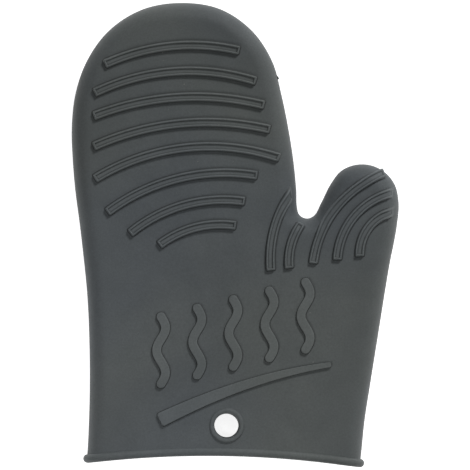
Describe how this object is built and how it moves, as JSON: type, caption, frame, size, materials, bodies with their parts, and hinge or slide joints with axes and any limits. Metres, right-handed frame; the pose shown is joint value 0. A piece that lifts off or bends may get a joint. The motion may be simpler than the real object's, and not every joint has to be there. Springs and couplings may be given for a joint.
{
  "type": "oven mitt",
  "caption": "Moulded silicone oven mitt with a thumb, raised curved grip ribs on both sides, a rolled rim at the open cuff and a hanging hole.",
  "frame": {"origin": "under the middle of the mitt's outline, on the surface it lies on, back down", "axes": "+X to the thumb side, +Y to the fingertips, +Z out of the palm side"},
  "size_m": [0.1899, 0.2703, 0.0308],
  "materials": {
    "silicone": "matte",
    "silicone_relief": "matte"
  },
  "bodies": {
    "palm": {"cuff_front": "silicone", "cuff_back": "silicone", "palm_front": "silicone", "palm_back": "silicone", "palm_wall_outer": "silicone", "palm_wall_thumb_side": "silicone", "crotch_wall": "silicone", "cuff_bead": "silicone_relief", "eyelet_front": "silicone_relief", "eyelet_back": "silicone_relief", "palm_waves": "silicone_relief", "palm_bar": "silicone_relief", "knuckle_front": "silicone", "knuckle_back": "silicone", "knuckle_wall_outer": "silicone", "knuckle_wall_inner": "silicone", "web_front": "silicone", "web_back": "silicone", "web_wall_outer": "silicone", "web_wall_inner": "silicone", "grip_rib_5": "silicone_relief", "grip_rib_6": "silicone_relief", "grip_rib_7": "silicone_relief", "grip_rib_8": "silicone_relief", "back_rib_5": "silicone_relief", "back_rib_6": "silicone_relief", "back_rib_7": "silicone_relief", "back_rib_8": "silicone_relief", "thumb_rib_1": "silicone_relief", "thumb_rib_2": "silicone_relief", "thumb_rib_3": "silicone_relief", "thumb_rib_4": "silicone_relief", "thumb_rib_5": "silicone_relief", "back_thumb_rib_1": "silicone_relief", "back_thumb_rib_2": "silicone_relief", "back_thumb_rib_3": "silicone_relief", "back_thumb_rib_4": "silicone_relief", "back_thumb_rib_5": "silicone_relief"},
    "fingers": {"finger_front": "silicone", "finger_back": "silicone", "finger_wall": "silicone", "grip_rib_1": "silicone_relief", "grip_rib_2": "silicone_relief", "grip_rib_3": "silicone_relief", "grip_rib_4": "silicone_relief", "back_rib_1": "silicone_relief", "back_rib_2": "silicone_relief", "back_rib_3": "silicone_relief", "back_rib_4": "silicone_relief"},
    "thumb": {"thumb_front": "silicone", "thumb_back": "silicone", "thumb_wall": "silicone", "thumb_tip_rib_3": "silicone_relief", "thumb_tip_rib_4": "silicone_relief", "thumb_tip_rib_5": "silicone_relief", "back_thumb_tip_rib_3": "silicone_relief", "back_thumb_tip_rib_4": "silicone_relief", "back_thumb_tip_rib_5": "silicone_relief"}
  },
  "joints": [
    {"name": "finger_fold", "type": "hinge", "parent": "palm", "child": "fingers", "pos_m": [-0.029, 0.0345, 0.0154], "axis": [0.9903, 0.1392, 0], "range_deg": [0, 70], "stiffness_Nm_per_rad": 0.3, "deforming": ["knuckle_front", "knuckle_back", "knuckle_wall_outer", "knuckle_wall_inner", "grip_rib_5", "grip_rib_6", "back_rib_5", "back_rib_6"]},
    {"name": "thumb_fold", "type": "hinge", "parent": "palm", "child": "thumb", "pos_m": [0.04907, 0.02247, 0.0154], "axis": [0.7071, -0.7071, 0], "range_deg": [0, 55], "stiffness_Nm_per_rad": 0.2, "deforming": ["web_front", "web_back", "web_wall_outer", "web_wall_inner", "thumb_rib_3", "thumb_rib_4", "thumb_rib_5", "back_thumb_rib_3", "back_thumb_rib_4", "back_thumb_rib_5"]}
  ]
}
